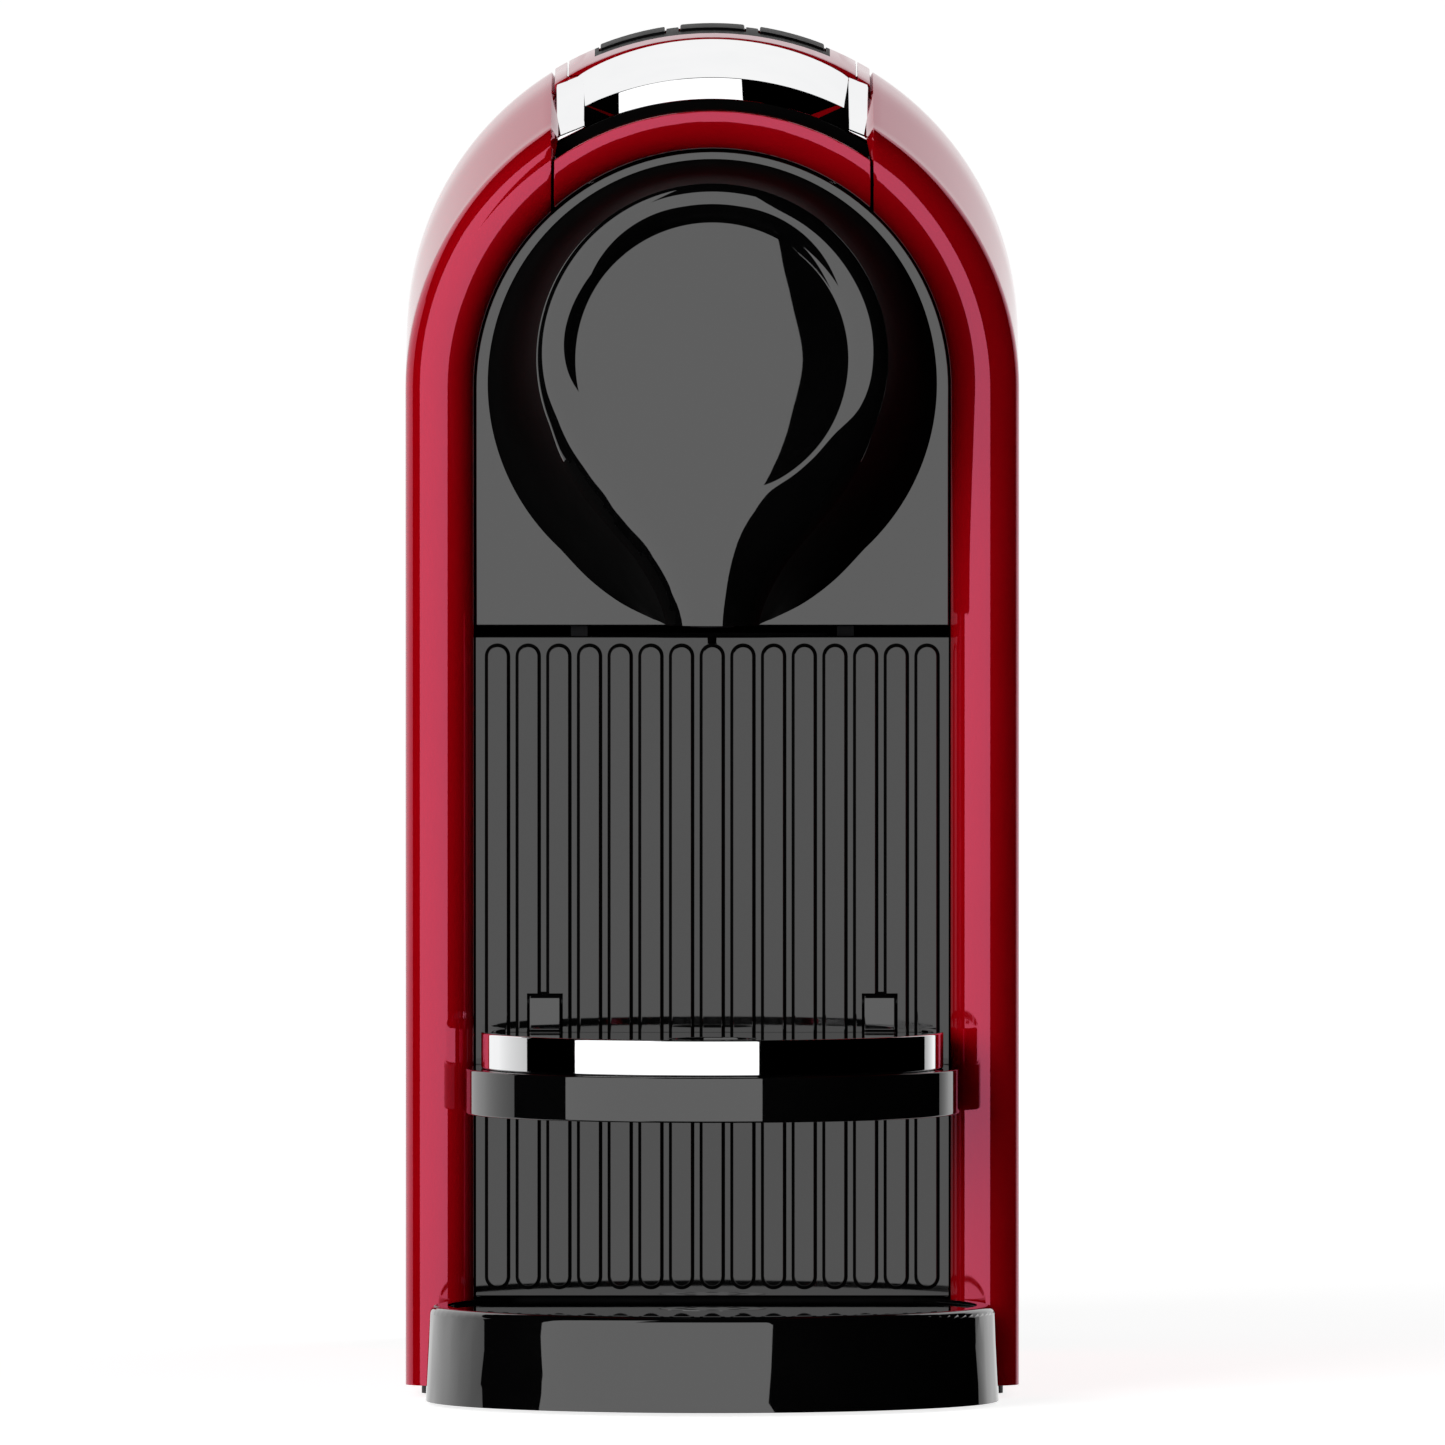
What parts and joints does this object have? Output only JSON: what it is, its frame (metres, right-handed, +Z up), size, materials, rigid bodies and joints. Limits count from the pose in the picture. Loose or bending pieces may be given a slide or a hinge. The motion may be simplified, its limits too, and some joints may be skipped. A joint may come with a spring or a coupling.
{
  "type": "pod coffee machine",
  "caption": "Narrow arched pod coffee machine with a lifting front lever, round nozzle cover, fluted drawer front, folding cup rest, round drip base and a rear water tank.",
  "frame": {"origin": "on the standing surface, below the middle of the bounding box", "axes": "+Z up, -Y towards the user at the front, +X to the right as seen from the front"},
  "size_m": [0.118, 0.35, 0.2643],
  "materials": {
    "red_gloss": "high gloss red",
    "black_gloss": "high gloss black",
    "black_matte": "fine matte black",
    "chrome_plate": "polished chrome",
    "dark_rubber": "matte",
    "steel": "ground",
    "heater_metal": "cast",
    "inner_plastic": "moulded",
    "gear_plastic": "natural",
    "board_green": "coated board",
    "hose_white": "silicone",
    "tank_smoke": "smoked clear"
  },
  "bodies": {
    "machine": {"outer_shell": "red_gloss", "top_cover": "red_gloss", "shaft_bushes": "gear_plastic", "switch_board": "board_green", "upper_panel": "black_gloss", "nozzle_cover": "black_gloss", "brew_head": "inner_plastic", "coffee_spout": "steel", "brew_frame": "inner_plastic", "guide_rods": "steel", "feed_tube": "steel", "capsule_chute": "black_matte", "chassis_base": "black_matte", "bay_frame": "black_matte", "drawer_rails": "inner_plastic", "rail_screws": "steel", "feet": "dark_rubber", "rear_frame": "black_matte", "pump": "inner_plastic", "pump_saddles": "dark_rubber", "thermoblock": "heater_metal", "thermostat": "steel", "flow_meter": "inner_plastic", "inlet_hose": "hose_white", "pump_hose": "hose_white", "heater_hose": "hose_white", "brew_hose": "hose_white", "control_board": "board_green", "board_standoffs": "inner_plastic", "tank_seat": "black_matte", "seat_seal": "dark_rubber", "cord_gland": "dark_rubber"},
    "lever": {"lever_frame": "red_gloss", "lever_liner": "black_matte", "lever_handle": "chrome_plate", "lever_shaft": "steel", "lever_pinion": "gear_plastic"},
    "brew_carriage": {"brew_carriage": "gear_plastic", "carriage_seal": "dark_rubber", "piercing_needles": "steel"},
    "button_left": {"button_left": "black_gloss"},
    "button_centre": {"button_centre": "black_gloss"},
    "button_right": {"button_right": "black_gloss"},
    "drawer": {"drawer_front": "black_gloss", "cup_hinge_pins": "steel", "drip_base": "black_gloss", "capsule_bin": "black_matte"},
    "drip_cover": {"drip_cover": "black_gloss", "drip_drain": "black_gloss"},
    "cup_rest": {"cup_cradle": "black_gloss", "cup_ring": "chrome_plate", "cup_plate": "black_gloss", "cup_drain": "black_gloss"},
    "water_tank": {"water_tank": "tank_smoke", "tank_valve": "inner_plastic", "lid_pin": "steel"},
    "tank_lid": {"tank_lid": "black_gloss"}
  },
  "joints": [
    {"name": "lever_lift", "type": "hinge", "parent": "machine", "child": "lever", "pos_m": [0, 0.02, 0.231], "axis": [-1, 0, 0], "range_deg": [0, 75]},
    {"name": "carriage_slide", "type": "slide", "parent": "machine", "child": "brew_carriage", "axis": [0, 1, 0], "range_m": [0, 0.0158]},
    {"name": "button_left_press", "type": "slide", "parent": "machine", "child": "button_left", "axis": [0, 0, -1], "range_m": [0, 0.0012], "stiffness_N_per_m": 500, "springref_m": -0.0006},
    {"name": "button_centre_press", "type": "slide", "parent": "machine", "child": "button_centre", "axis": [0, 0, -1], "range_m": [0, 0.0012], "stiffness_N_per_m": 500, "springref_m": -0.0006},
    {"name": "button_right_press", "type": "slide", "parent": "machine", "child": "button_right", "axis": [0, 0, -1], "range_m": [0, 0.0012], "stiffness_N_per_m": 500, "springref_m": -0.0006},
    {"name": "drawer_slide", "type": "slide", "parent": "machine", "child": "drawer", "axis": [0, -1, 0], "range_m": [0, 0.11]},
    {"name": "cup_rest_fold", "type": "hinge", "parent": "drawer", "child": "cup_rest", "pos_m": [0, -0.088, 0.076], "axis": [-1, 0, 0], "range_deg": [0, 90]},
    {"name": "drip_cover_lift", "type": "slide", "parent": "drawer", "child": "drip_cover", "axis": [0, 0, 1], "range_m": [0, 0.03]},
    {"name": "tank_lift", "type": "slide", "parent": "machine", "child": "water_tank", "axis": [0, 0, 1], "range_m": [0, 0.12]},
    {"name": "tank_lid_hinge", "type": "hinge", "parent": "water_tank", "child": "tank_lid", "pos_m": [0, 0.1727, 0.2247], "axis": [-1, 0, 0], "range_deg": [0, 85]}
  ],
  "couplings": [
    {"joint": "carriage_slide", "follows": "lever_lift", "m_per_rad": 0.012}
  ]
}
